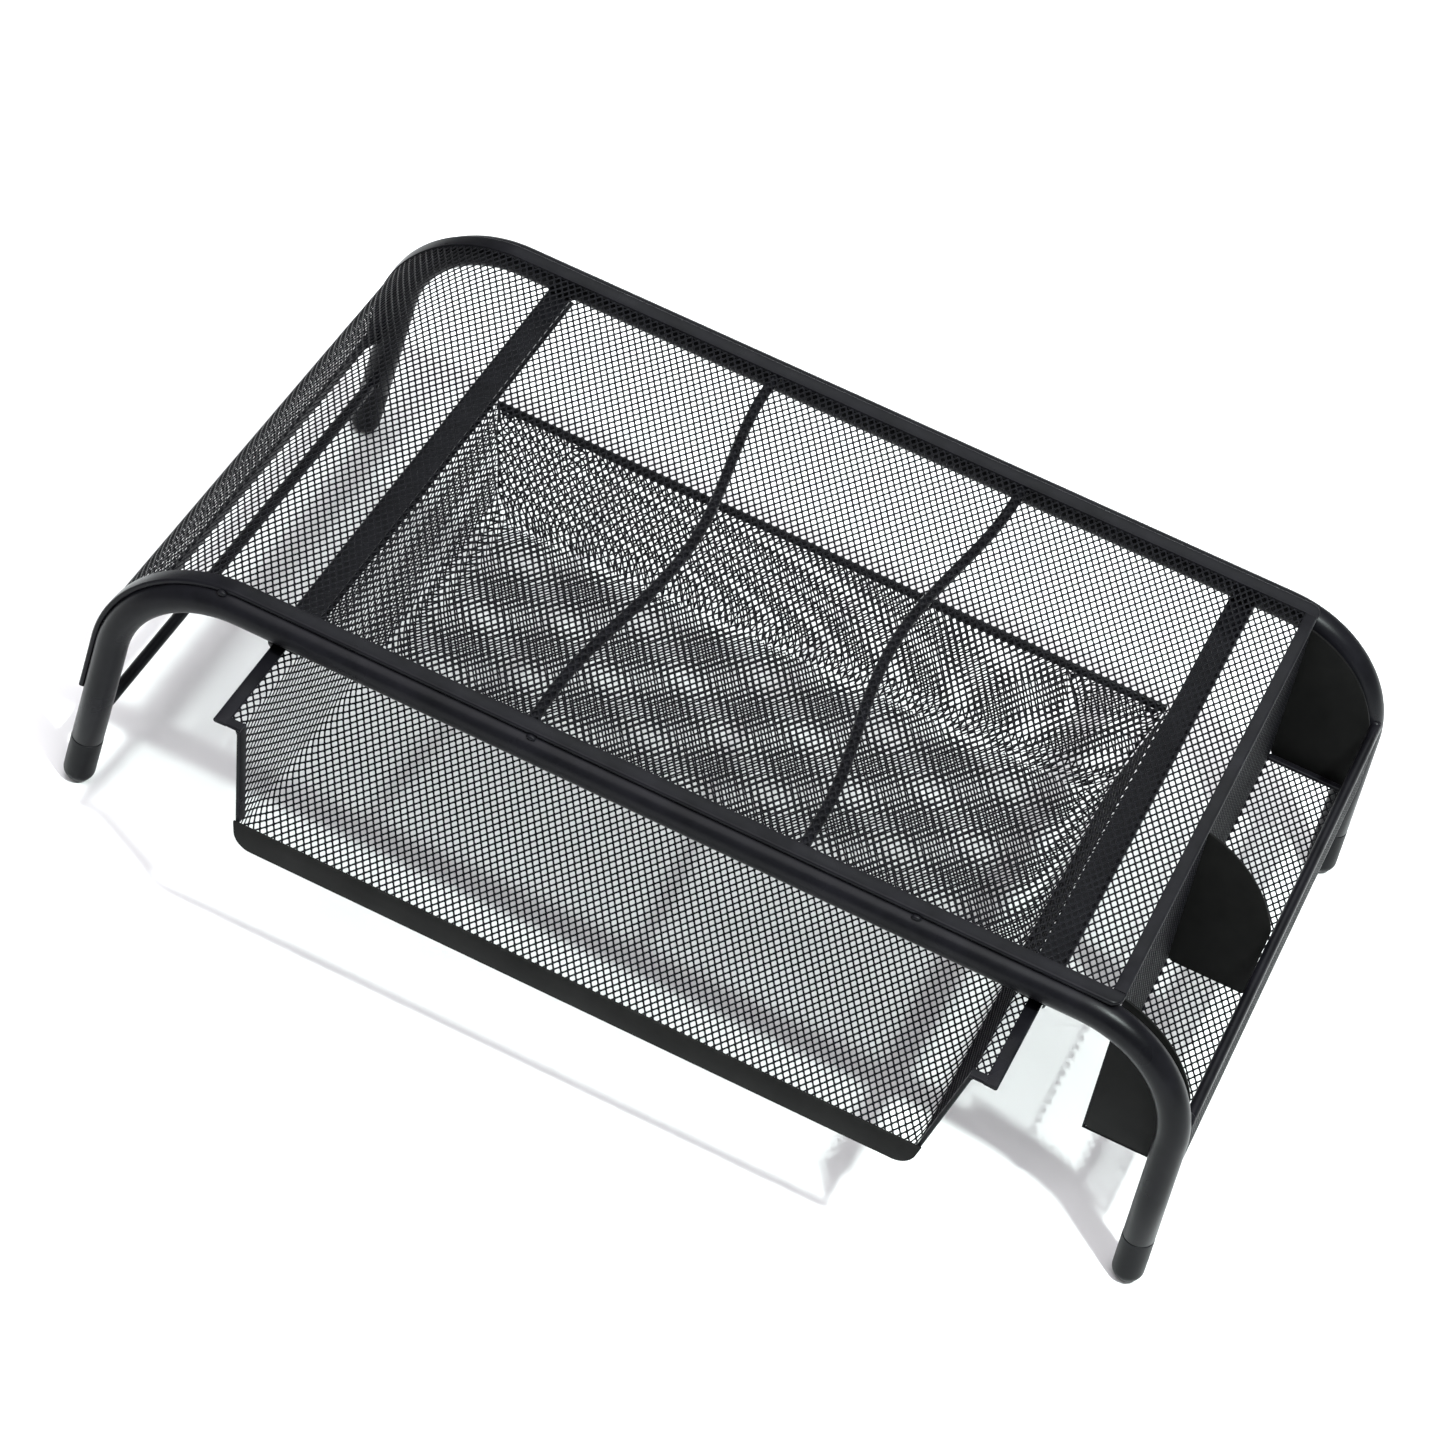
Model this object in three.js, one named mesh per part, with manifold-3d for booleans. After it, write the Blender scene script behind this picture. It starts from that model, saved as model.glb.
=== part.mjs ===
// Mesh desk riser with a pull-out mesh drawer and a two-bay side caddy, millimetres, +Z up.
// Origin: middle of the footprint on the desk, drawer standing 50 mm out of its closed place.
// +X runs to the caddy side, -Y is the side the drawer comes out of.
import * as THREE from "three";
import Module from "manifold-3d";
import { mergeVertices } from "three/addons/utils/BufferGeometryUtils.js";

const wasm = await Module();
wasm.setup();

// ---------------------------------------------------------------- dimensions
const LEG_X = 245; // leg axis from the middle, where the bend would meet it
const FRAME_D = 282; // front tube axis to rear tube axis
const Y_MID = 115.8; // frame coordinate y that sits on the origin
const TUBE_R = 7; // frame tube, 14 mm outside
const BORE_R = 5.8; // its bore
const BEND_R = 54.5; // bend radius of the tube axis
const TUBE_Z = 135; // axis of the level run
const SPLAY = 0.066; // legs lean outward, radians
const CAP_H = 26; // visible length of a foot cap
const BEND_STEPS = 9;

const SHEET_T = 0.6; // mesh sheet
const HEM_T = 2.2; // folded edge strip, over both faces
const SLOT_T = 1.2; // its slot for the sheet
const GAP = 0.3; // clearance between neighbouring pieces
const TOP_LIFT = 8.4; // sheet middle plane above the tube axis
const HEM_W = 7.9; // width of an edge strip
const FRONT_EDGE = -2; // outer edge of the front strip, y from the front tube axis
const REAR_EDGE = 279.5; // outer edge of the rear strip
const TOP_RIGHT = 205; // right edge of the top panel
const RIGHT_HEM_W = 5.8; // width of the strip along it
const SIDE_END_Z = 54; // lower edge of the panel on the left legs

const RIB_X = 61.5; // rib rods under the top panel
const RIB_R = 2.5;
const RIB_BOW = 12.5; // how far the ribs bow towards each other
const STRETCH_Z = 35; // stretcher rod between the left legs
const STRETCH_R = 2.75;

const RAIL_OUT = 177; // drawer rails, C section open to the middle
const RAIL_IN = 165;
const RAIL_TOP = 127.7;
const RAIL_LOW = 120.3;
const RAIL_T = 1;
const RAIL_Y0 = -1;
const RAIL_Y1 = 286;

const OUT = -50; // how far the drawer stands out of its closed place
const DRAWER_Y0 = -6 + OUT; // its front edge
const DRAWER_L = 258;
const DRAWER_TOP_W = 164; // half width at the top of the side walls
const DRAWER_LOW_W = 154.5; // half width where the lower corners begin
const DRAWER_FLOOR_Z = 67; // middle plane of its floor
const CORNER_R = 8;
const FLANGE_OUT = 175.5;
const FLANGE_HEM_W = 6;
const FLANGE_BACK = 4.5; // the walls' front edges slope back this much from the lip up to the flanges
const FLANGE_Z = 122.7;
const LIP_TOP = 78.6;

const innerX = (z) => 209.1 + (59.9 - z) * 0.06; // inner wall of the caddy, middle plane, leaning with the legs
const PLATE_IN = 0.7; // inner edge of the three plates, from that plane
const PLATE_X1 = 245.2; // outer edge
const PLATE_R = 58; // curved top, about the centre of the bend
const PLATE_T = 1.2;
const CADDY_Z = 59.3; // floor middle plane
const RIM_X = 248;
const RIM_Z = 96; // rim rod on top of the outer wall
const RIM_R = 2.5;

// ---------------------------------------------------------------- helpers
const group = new THREE.Group();
group.name = "mesh_desk_riser";
const BLACK = 0x232326;
const steel = { color: BLACK, roughness: 0.42, metalness: 0.25 };
const sheet = { color: 0x1f1f22, roughness: 0.55, metalness: 0.25 };
const flatSteel = { color: 0x1b1b1a, roughness: 0.6, metalness: 0.2 };
const plastic = { color: 0x202124, roughness: 0.5, metalness: 0 };

function piece(name, geometry, look) {
  const mesh = new THREE.Mesh(geometry, new THREE.MeshStandardMaterial(look));
  mesh.name = name;
  group.add(mesh);
  return mesh;
}

function solid(geometry) {
  const g = geometry.clone();
  g.deleteAttribute("normal");
  g.deleteAttribute("uv");
  const m = mergeVertices(g, 1e-4);
  return new wasm.Manifold(
    new wasm.Mesh({
      numProp: 3,
      vertProperties: new Float32Array(m.attributes.position.array),
      triVerts: new Uint32Array(m.index.array),
    }),
  );
}

function geometryOf(manifold) {
  const m = manifold.getMesh();
  const g = new THREE.BufferGeometry();
  g.setAttribute("position", new THREE.BufferAttribute(new Float32Array(m.vertProperties), 3));
  g.setIndex(new THREE.BufferAttribute(new Uint32Array(m.triVerts), 1));
  const flat = g.toNonIndexed();
  flat.computeVertexNormals();
  return flat;
}

const minus = (a, ...rest) =>
  geometryOf(rest.reduce((s, b) => s.subtract(solid(b)), solid(a)));
const plus = (...all) =>
  geometryOf(all.slice(1).reduce((s, b) => s.add(solid(b)), solid(all[0])));
const common = (a, b) => geometryOf(solid(a).intersect(solid(b)));

// frame y (0 at the front tube axis) to the part's y
const Y = (y) => y - Y_MID;

function box(x0, x1, y0, y1, z0, z1) {
  return new THREE.BoxGeometry(x1 - x0, y1 - y0, z1 - z0).translate(
    (x0 + x1) / 2,
    (Y(y0) + Y(y1)) / 2,
    (z0 + z1) / 2,
  );
}

// a closed outline in x, z, run from y0 to y1
function runY(outline, y0, y1, holes = []) {
  const shape = new THREE.Shape(outline.map(([x, z]) => new THREE.Vector2(x, z)));
  for (const h of holes) shape.holes.push(new THREE.Path(h.map(([x, z]) => new THREE.Vector2(x, z))));
  const g = new THREE.ExtrudeGeometry(shape, { depth: y1 - y0, bevelEnabled: false, curveSegments: 8 });
  return g.rotateX(Math.PI / 2).translate(0, Y(y1), 0);
}

// a closed outline in y, z (frame y), run from x0 to x1
function runX(outline, x0, x1) {
  const shape = new THREE.Shape(outline.map(([y, z]) => new THREE.Vector2(Y(y), z)));
  const g = new THREE.ExtrudeGeometry(shape, { depth: x1 - x0, bevelEnabled: false });
  // local x -> world y, local y -> world z, local z -> world x
  const m = new THREE.Matrix4().makeBasis(
    new THREE.Vector3(0, 1, 0),
    new THREE.Vector3(0, 0, 1),
    new THREE.Vector3(1, 0, 0),
  );
  return g.applyMatrix4(m).translate(x0, 0, 0);
}

// a closed outline in x, y (frame y), run from z0 to z1
function runZ(outline, z0, z1) {
  const shape = new THREE.Shape(outline.map(([x, y]) => new THREE.Vector2(x, Y(y))));
  const g = new THREE.ExtrudeGeometry(shape, { depth: z1 - z0, bevelEnabled: false });
  return g.translate(0, 0, z0);
}

// points of an open x, z path moved sideways by d (to the left of the travel)
function offsetPath(path, d) {
  const n = path.length;
  return path.map((p, i) => {
    const a = path[Math.max(0, i - 1)];
    const b = path[Math.min(n - 1, i + 1)];
    const dir = (u, v) => {
      const l = Math.hypot(v[0] - u[0], v[1] - u[1]);
      return [(v[0] - u[0]) / l, (v[1] - u[1]) / l];
    };
    const t0 = i > 0 ? dir(a, p) : dir(p, b);
    const t1 = i < n - 1 ? dir(p, b) : dir(a, p);
    const n0 = [-t0[1], t0[0]];
    const n1 = [-t1[1], t1[0]];
    const mx = n0[0] + n1[0];
    const mz = n0[1] + n1[1];
    const k = 2 / (mx * mx + mz * mz);
    return [p[0] + d * mx * k, p[1] + d * mz * k];
  });
}

// an outline of given thickness round an open path
function band(path, t, shift = 0) {
  const left = offsetPath(path, shift + t / 2);
  const right = offsetPath(path, shift - t / 2);
  return [...right, ...left.reverse()];
}

// a path cut to the part between two distances along it
function cutPath(path, s0, s1) {
  const out = [];
  let s = 0;
  for (let i = 0; i + 1 < path.length; i++) {
    const [a, b] = [path[i], path[i + 1]];
    const l = Math.hypot(b[0] - a[0], b[1] - a[1]);
    const at = (q) => [a[0] + ((b[0] - a[0]) * (q - s)) / l, a[1] + ((b[1] - a[1]) * (q - s)) / l];
    if (s1 <= s || s0 >= s + l) {
      s += l;
      continue;
    }
    if (!out.length) out.push(s0 > s ? at(s0) : a);
    out.push(s1 < s + l ? at(s1) : b);
    s += l;
  }
  return out;
}
const pathLength = (path) =>
  path.slice(1).reduce((s, p, i) => s + Math.hypot(p[0] - path[i][0], p[1] - path[i][1]), 0);

// a curve whose stations are the given points, so long straight runs need only one step
class StationCurve extends THREE.Curve {
  constructor(points) {
    super();
    this.points = points;
  }
  getUtoTmapping(u) {
    return u;
  }
  getPoint(t, target = new THREE.Vector3()) {
    const k = t * (this.points.length - 1);
    const i = Math.min(Math.floor(k + 1e-9), this.points.length - 2);
    return target.copy(this.points[i]).lerp(this.points[i + 1], k - i);
  }
  getTangent(t, target = new THREE.Vector3()) {
    const p = this.points;
    const i = Math.round(t * (p.length - 1));
    const a = p[Math.max(0, i - 1)];
    const b = p[Math.min(p.length - 1, i + 1)];
    const before = p[i].clone().sub(a).normalize();
    const after = b.clone().sub(p[i]).normalize();
    return target.copy(before).add(after).normalize();
  }
}

function disc(r, sides, turn = 0) {
  return Array.from({ length: sides }, (_, i) => {
    const a = turn + (2 * Math.PI * i) / sides;
    return new THREE.Vector2(r * Math.cos(a), r * Math.sin(a));
  });
}

function sweep(points, r, sides, bore = 0, boreSides = 12) {
  const shape = new THREE.Shape(disc(r, sides));
  if (bore) shape.holes.push(new THREE.Path(disc(bore, boreSides)));
  return new THREE.ExtrudeGeometry(shape, {
    steps: points.length - 1,
    bevelEnabled: false,
    extrudePath: new StationCurve(points),
  });
}

// ---------------------------------------------------------------- frame tubes and feet
const BEND_CX = LEG_X - BEND_R;
const BEND_CZ = TUBE_Z - BEND_R;
const BEND_END = Math.PI / 2 - SPLAY;

// x, z points of the bend on the +X side, from the level run to the leg, at radius r
function bendArc(r, steps = BEND_STEPS) {
  return Array.from({ length: steps + 1 }, (_, i) => {
    const a = (BEND_END * i) / steps;
    return [BEND_CX + r * Math.sin(a), BEND_CZ + r * Math.cos(a)];
  });
}
// point on the leg line at height z, at radius r of the bend
function legPoint(r, z) {
  const [x0, z0] = bendArc(r).at(-1);
  return [x0 + (z0 - z) * Math.tan(SPLAY), z];
}

function frameTube(y) {
  const half = [...bendArc(BEND_R), legPoint(BEND_R, CAP_H + GAP)];
  const left = half.map(([x, z]) => [-x, z]).reverse();
  const pts = [...left, ...half].map(([x, z]) => new THREE.Vector3(x, Y(y), z));
  return sweep(pts, TUBE_R, 20, BORE_R, 12);
}
piece("front_frame_tube", frameTube(0), steel);
piece("rear_frame_tube", frameTube(FRAME_D), steel);

// foot cap: rounded bumper with a stem pushed up the tube
function footCap(side, y) {
  const drop = 0.25;
  const r = 6;
  const profile = [new THREE.Vector2(0, 0)];
  for (let i = 0; i <= 6; i++) {
    const a = ((Math.PI / 2) * i) / 6;
    profile.push(new THREE.Vector2(TUBE_R - r + r * Math.sin(a), r - r * Math.cos(a)));
  }
  profile.push(
    new THREE.Vector2(TUBE_R, CAP_H),
    new THREE.Vector2(5.2, CAP_H),
    new THREE.Vector2(5.2, CAP_H + 14),
    new THREE.Vector2(4.4, CAP_H + 16),
    new THREE.Vector2(0, CAP_H + 16),
  );
  const g = new THREE.LatheGeometry(profile, 20);
  g.rotateX(Math.PI / 2); // axis to +Z
  g.rotateY(-side * SPLAY);
  const [x] = legPoint(BEND_R, -drop);
  g.translate(side * x, Y(y), -drop);
  const ground = new THREE.BoxGeometry(60, 60, 20).translate(side * x, Y(y), -10);
  return minus(g, ground);
}
for (const [end, y] of [["front", 0], ["rear", FRAME_D]])
  for (const [side, s] of [["left", -1], ["right", 1]])
    piece("foot_cap_" + end + "_" + side, footCap(s, y), plastic);

// ---------------------------------------------------------------- top panel and its edge strips
// Middle plane of the sheet: level from the right edge, over the left bend, down the left legs.
const R_SHEET = BEND_R + TOP_LIFT;
const topPath = [
  [TOP_RIGHT, TUBE_Z + TOP_LIFT],
  ...bendArc(R_SHEET).map(([x, z]) => [-x, z]),
  [-legPoint(R_SHEET, SIDE_END_Z)[0], SIDE_END_Z],
];
const topLen = pathLength(topPath);
const EDGE = 1.0; // sheet stops this far short of the outside of its strip
piece(
  "top_mesh_panel",
  runY(
    band(cutPath(topPath, EDGE, topLen - EDGE), SHEET_T),
    FRONT_EDGE + EDGE,
    REAR_EDGE - EDGE,
  ),
  sheet,
);

// front and rear strips follow the whole bent edge; their slot takes the sheet
function longStrip(y0, y1, slot0, slot1) {
  return minus(
    common(
      runY(band(topPath, HEM_T), y0, y1),
      runZ(roundedEnd(y0, y1), -10, 200),
    ),
    runY(band([[TOP_RIGHT + 5, TUBE_Z + TOP_LIFT], ...topPath.slice(1, -1), [topPath.at(-1)[0] - 0.4, SIDE_END_Z - 6]], SLOT_T), slot0, slot1),
  );
}
// plan outline with the outer corner at the right end rounded
function roundedEnd(y0, y1) {
  const outerFront = y0 < FRAME_D / 2;
  const r = 5;
  const arc = [];
  for (let i = 0; i <= 4; i++) {
    const a = ((Math.PI / 2) * i) / 4;
    arc.push([
      TOP_RIGHT - r + r * Math.sin(a),
      outerFront ? y0 + r - r * Math.cos(a) : y1 - r + r * Math.cos(a),
    ]);
  }
  return outerFront
    ? [[-300, y0], ...arc, [TOP_RIGHT, y1], [-300, y1]]
    : [[-300, y0], [TOP_RIGHT, y0], ...arc.reverse(), [-300, y1]];
}
const F1 = FRONT_EDGE + HEM_W;
const B0 = REAR_EDGE - HEM_W;
piece("top_edge_strip_front", longStrip(FRONT_EDGE, F1, FRONT_EDGE + EDGE - GAP, F1 + 2), steel);
piece("top_edge_strip_rear", longStrip(B0, REAR_EDGE, B0 - 2, REAR_EDGE - EDGE + GAP), steel);

function edgeStripAlongY(path, slotPath, y0, y1) {
  return minus(runY(band(path, HEM_T), y0, y1), runY(band(slotPath, SLOT_T), y0 - 2, y1 + 2));
}
piece(
  "top_edge_strip_right",
  edgeStripAlongY(
    cutPath(topPath, 0, RIGHT_HEM_W),
    cutPath(topPath, EDGE - GAP, RIGHT_HEM_W + 4),
    F1 + GAP,
    B0 - GAP,
  ),
  steel,
);
piece(
  "side_edge_strip_left",
  edgeStripAlongY(
    cutPath(topPath, topLen - HEM_W, topLen),
    cutPath(topPath, topLen - HEM_W - 4, topLen - EDGE + GAP),
    F1 + GAP,
    B0 - GAP,
  ),
  steel,
);

// ---------------------------------------------------------------- rods
function rodAlongY(x, z, r, y0, y1, sides = 12) {
  return new THREE.CylinderGeometry(r, r, y1 - y0, sides).translate(x, (Y(y0) + Y(y1)) / 2, z);
}
// ribs: two rods under the top panel, bowed towards each other in the middle
function rib(side) {
  const y0 = TUBE_R + GAP;
  const y1 = REAR_EDGE - HEM_W - GAP;
  const z = TUBE_Z + TOP_LIFT - SHEET_T / 2 - GAP - RIB_R;
  const n = 12;
  const pts = Array.from({ length: n + 1 }, (_, i) => {
    const y = y0 + ((y1 - y0) * i) / n;
    const u = Math.min(1, Math.abs(y - 145) / 120);
    const bow = RIB_BOW * Math.cos((Math.PI / 2) * u) ** 2;
    return new THREE.Vector3(side * (RIB_X - bow), Y(y), z);
  });
  return sweep(pts, RIB_R, 10);
}
piece("rib_rod_left", rib(-1), steel);
piece("rib_rod_right", rib(1), steel);
piece(
  "side_stretcher_rod",
  rodAlongY(-legPoint(BEND_R, STRETCH_Z)[0], STRETCH_Z, STRETCH_R, TUBE_R + GAP, FRAME_D - TUBE_R - GAP),
  steel,
);

// ---------------------------------------------------------------- drawer rails
function rail(side) {
  const c = [
    [RAIL_IN, RAIL_LOW],
    [RAIL_OUT, RAIL_LOW],
    [RAIL_OUT, RAIL_TOP],
    [RAIL_IN, RAIL_TOP],
    [RAIL_IN, RAIL_TOP - RAIL_T],
    [RAIL_OUT - RAIL_T, RAIL_TOP - RAIL_T],
    [RAIL_OUT - RAIL_T, RAIL_LOW + RAIL_T],
    [RAIL_IN, RAIL_LOW + RAIL_T],
  ].map(([x, z]) => [side * x, z]);
  // front end with its lower corner rounded
  const r = 5;
  const ends = [[RAIL_Y1, RAIL_LOW - 1], [RAIL_Y1, RAIL_TOP + 1], [RAIL_Y0, RAIL_TOP + 1]];
  for (let i = 0; i <= 5; i++) {
    const a = ((Math.PI / 2) * i) / 5;
    ends.push([RAIL_Y0 + r - r * Math.cos(a), RAIL_LOW + r - r * Math.sin(a)]);
  }
  ends.push([RAIL_Y0 + r, RAIL_LOW - 1]);
  return common(
    runY(c, RAIL_Y0 - 1, RAIL_Y1 + 1),
    runX(ends, Math.min(side * (RAIL_IN - 2), side * (RAIL_OUT + 2)), Math.max(side * (RAIL_IN - 2), side * (RAIL_OUT + 2))),
  );
}
piece("drawer_rail_left", rail(-1), steel);
piece("drawer_rail_right", rail(1), steel);

// ---------------------------------------------------------------- drawer
const DRAWER_Y1 = DRAWER_Y0 + DRAWER_L;
// cross section of the basket sheet on the +X side: floor, rounded corner, leaning wall, flange
const lean = Math.atan2(DRAWER_TOP_W - DRAWER_LOW_W, FLANGE_Z - DRAWER_FLOOR_Z - CORNER_R);
function basketHalf() {
  const out = [];
  const turn = Math.PI / 2 - lean;
  // wall line through the top point, leaning in downward
  const wall = (z) => DRAWER_TOP_W - (FLANGE_Z - z) * Math.tan(lean);
  // centre of the corner arc: CORNER_R above the floor and inside the wall
  const cz = DRAWER_FLOOR_Z + CORNER_R;
  const cx = wall(cz) - CORNER_R / Math.cos(lean);
  for (let i = 0; i <= 5; i++) {
    const a = (turn * i) / 5;
    out.push([cx + CORNER_R * Math.sin(a), cz - CORNER_R * Math.cos(a)]);
  }
  out.push([DRAWER_TOP_W, FLANGE_Z]);
  return { out, wall };
}
const { out: basketRight, wall: wallX } = basketHalf();
const basketPath = [
  [-(FLANGE_OUT - EDGE), FLANGE_Z],
  ...basketRight.map(([x, z]) => [-x, z]).reverse(),
  ...basketRight,
  [FLANGE_OUT - EDGE, FLANGE_Z],
];
// y of the sloping front edge at height z, from the drawer's own front
const slope = (z) => (FLANGE_BACK * Math.max(0, z - LIP_TOP)) / (FLANGE_Z - LIP_TOP);
piece(
  "drawer_basket_mesh",
  minus(
    runY(band(basketPath, SHEET_T), DRAWER_Y0 + EDGE, DRAWER_Y1 - 3),
    runX(
      [
        [DRAWER_Y0 - 10, LIP_TOP],
        [DRAWER_Y0 + EDGE, LIP_TOP],
        [DRAWER_Y0 + EDGE + FLANGE_BACK, FLANGE_Z],
        [DRAWER_Y0 + EDGE + FLANGE_BACK, FLANGE_Z + 10],
        [DRAWER_Y0 - 10, FLANGE_Z + 10],
      ],
      -200,
      200,
    ),
  ),
  sheet,
);

// flange strips: folded strips along the outer edge of each flange
for (const [side, s] of [["left", -1], ["right", 1]]) {
  const x0 = FLANGE_OUT - FLANGE_HEM_W;
  const strip = [[s * x0, FLANGE_Z], [s * FLANGE_OUT, FLANGE_Z]];
  const slot = [[s * (x0 - 4), FLANGE_Z], [s * (FLANGE_OUT - EDGE + GAP), FLANGE_Z]];
  piece(
    "drawer_flange_strip_" + side,
    minus(
      runY(s > 0 ? band(strip, HEM_T) : band(strip.slice().reverse(), HEM_T), DRAWER_Y0 + FLANGE_BACK, DRAWER_Y1),
      runY(s > 0 ? band(slot, SLOT_T) : band(slot.slice().reverse(), SLOT_T), DRAWER_Y0 - 2, DRAWER_Y1 + 2),
    ),
    steel,
  );
}

// front edge strips of the side walls, and the low lip along the front of the floor
const SIDE_STRIP_W = 6.5;
const s0Wall = LIP_TOP + 1.4;
for (const [side, s] of [["left", -1], ["right", 1]]) {
  const path = [[s * wallX(FLANGE_Z - 1.6), FLANGE_Z - 1.6], [s * wallX(s0Wall), s0Wall]];
  const long = [[s * wallX(FLANGE_Z + 8), FLANGE_Z + 8], [s * wallX(s0Wall - 8), s0Wall - 8]];
  const strip = minus(
    runY(band(path, HEM_T), DRAWER_Y0, DRAWER_Y0 + SIDE_STRIP_W),
    runY(band(long, SLOT_T), DRAWER_Y0 + EDGE - GAP, DRAWER_Y0 + SIDE_STRIP_W + 2),
  );
  const at = strip.attributes.position;
  for (let i = 0; i < at.count; i++) at.setY(i, at.getY(i) + slope(at.getZ(i)));
  piece("drawer_wall_strip_" + side, strip, steel);
}
// lip: upright band across the front, its lower corners rounded like the basket's
{
  const low = DRAWER_FLOOR_Z - HEM_T / 2;
  const outer = [];
  const r = CORNER_R + HEM_T / 2;
  const cz = DRAWER_FLOOR_Z + CORNER_R;
  const cx = wallX(cz) - CORNER_R / Math.cos(lean);
  const turn = Math.PI / 2 - lean;
  for (let i = 0; i <= 5; i++) {
    const a = (turn * i) / 5;
    outer.push([cx + r * Math.sin(a), cz - r * Math.cos(a)]);
  }
  const top = [outer.at(-1)[0] + (LIP_TOP - outer.at(-1)[1]) * Math.tan(lean), LIP_TOP];
  const half = [...outer, top];
  const outline = [...half.map(([x, z]) => [-x, z]).reverse(), ...half];
  piece("drawer_front_lip", runY(outline, DRAWER_Y0 - 1.4, DRAWER_Y0 - GAP), flatSteel);
}
// rear wall, a flat mesh sheet inside the basket, and the rim folded over its top
{
  const z0 = DRAWER_FLOOR_Z + SHEET_T / 2 + GAP;
  const inset = SHEET_T / 2 + GAP;
  const inner = offsetPath(basketPath.slice(1, -1), inset).filter(([x]) => x > 0);
  const zTop = FLANGE_Z - 0.9;
  const half = [...inner.slice(0, -1), [wallX(zTop) - inset / Math.cos(lean), zTop]];
  const outline = [...half.map(([x, z]) => [-x, z]).reverse(), ...half];
  piece("drawer_rear_mesh", runY(outline, DRAWER_Y1 - 4.3, DRAWER_Y1 - 4.3 + SHEET_T), sheet);
  const w = wallX(FLANGE_Z - 1.8) - SHEET_T / 2 - 2 * GAP;
  piece(
    "drawer_rear_rim",
    minus(
      box(-w, w, DRAWER_Y1 - 5.1, DRAWER_Y1 - 2.9, FLANGE_Z - 1.8, FLANGE_Z + 1.8),
      box(-w - 2, w + 2, DRAWER_Y1 - 4.3 - GAP, DRAWER_Y1 - 4.3 + SHEET_T + GAP, FLANGE_Z - 20, FLANGE_Z - 0.9 + GAP),
    ),
    steel,
  );
}

// ---------------------------------------------------------------- side caddy
const C0 = TUBE_R + GAP + 0.3; // front end of the caddy sheets
const C1 = FRAME_D - TUBE_R - GAP - 0.3;
const P0 = 10.4; // outer faces of the two end plates
const P1 = FRAME_D - 10;
function plate(y) {
  const arc = [];
  const z0 = CADDY_Z + SHEET_T / 2 + GAP;
  const angle = (x) => Math.asin((x - BEND_CX) / PLATE_R);
  const low = innerX(z0) + PLATE_IN;
  const high = innerX(137) + PLATE_IN;
  const [a0, a1] = [angle(high), angle(PLATE_X1)];
  for (let i = 0; i <= 10; i++) {
    const a = a1 + ((a0 - a1) * i) / 10;
    arc.push([BEND_CX + PLATE_R * Math.sin(a), BEND_CZ + PLATE_R * Math.cos(a)]);
  }
  const r = 3;
  const corner = [];
  for (let i = 0; i <= 3; i++) {
    const a = ((Math.PI / 2) * i) / 3;
    corner.push([low + r - r * Math.cos(a), z0 + r - r * Math.sin(a)]);
  }
  return runY([...corner, [PLATE_X1, z0], ...arc], y, y + PLATE_T);
}
piece("caddy_plate_front", plate(P0), flatSteel);
piece("caddy_plate_middle", plate(121.2), flatSteel);
piece("caddy_plate_rear", plate(P1 - PLATE_T), flatSteel);

piece(
  "caddy_inner_wall_mesh",
  runY(
    band(
      [CADDY_Z + SHEET_T / 2 + GAP, TUBE_Z + TOP_LIFT - HEM_T / 2 - GAP].map((z) => [innerX(z), z]),
      SHEET_T,
    ),
    P0,
    P1,
  ),
  sheet,
);
// outer wall leans out downward with the legs
const outerX = (z) => RIM_X + 1.4 + (RIM_Z - z) * Math.tan(SPLAY);
{
  const zLow = CADDY_Z + SHEET_T / 2 + GAP;
  const zHigh = RIM_Z - RIM_R - GAP;
  piece(
    "caddy_outer_wall_mesh",
    runY(band([[outerX(zLow), zLow], [outerX(zHigh), zHigh]], SHEET_T), C0, C1),
    sheet,
  );
  piece(
    "caddy_floor_mesh",
    box(innerX(CADDY_Z) - SHEET_T / 2, outerX(CADDY_Z) + SHEET_T / 2, P0, P1, CADDY_Z - SHEET_T / 2, CADDY_Z + SHEET_T / 2),
    sheet,
  );
}
piece("caddy_rim_rod", rodAlongY(RIM_X, RIM_Z, RIM_R, TUBE_R + GAP, FRAME_D - TUBE_R - GAP), steel);
// hem bars along the two ends of the floor, inside the end plates
for (const [end, y0, y1] of [
  ["front", P0 + PLATE_T + GAP, P0 + PLATE_T + GAP + 3.6],
  ["rear", P1 - PLATE_T - GAP - 3.6, P1 - PLATE_T - GAP],
])
  piece(
    "caddy_floor_strip_" + end,
    box(innerX(CADDY_Z) + PLATE_IN + 0.2, PLATE_X1 - 0.2, y0, y1, CADDY_Z + SHEET_T / 2 + GAP, CADDY_Z + SHEET_T / 2 + GAP + 1.6),
    steel,
  );

export default group;
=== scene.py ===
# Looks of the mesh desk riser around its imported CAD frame. Metres in Blender, millimetres in the helpers below.
import math

import bpy
import numpy as np
from mathutils import Matrix, Vector


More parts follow.
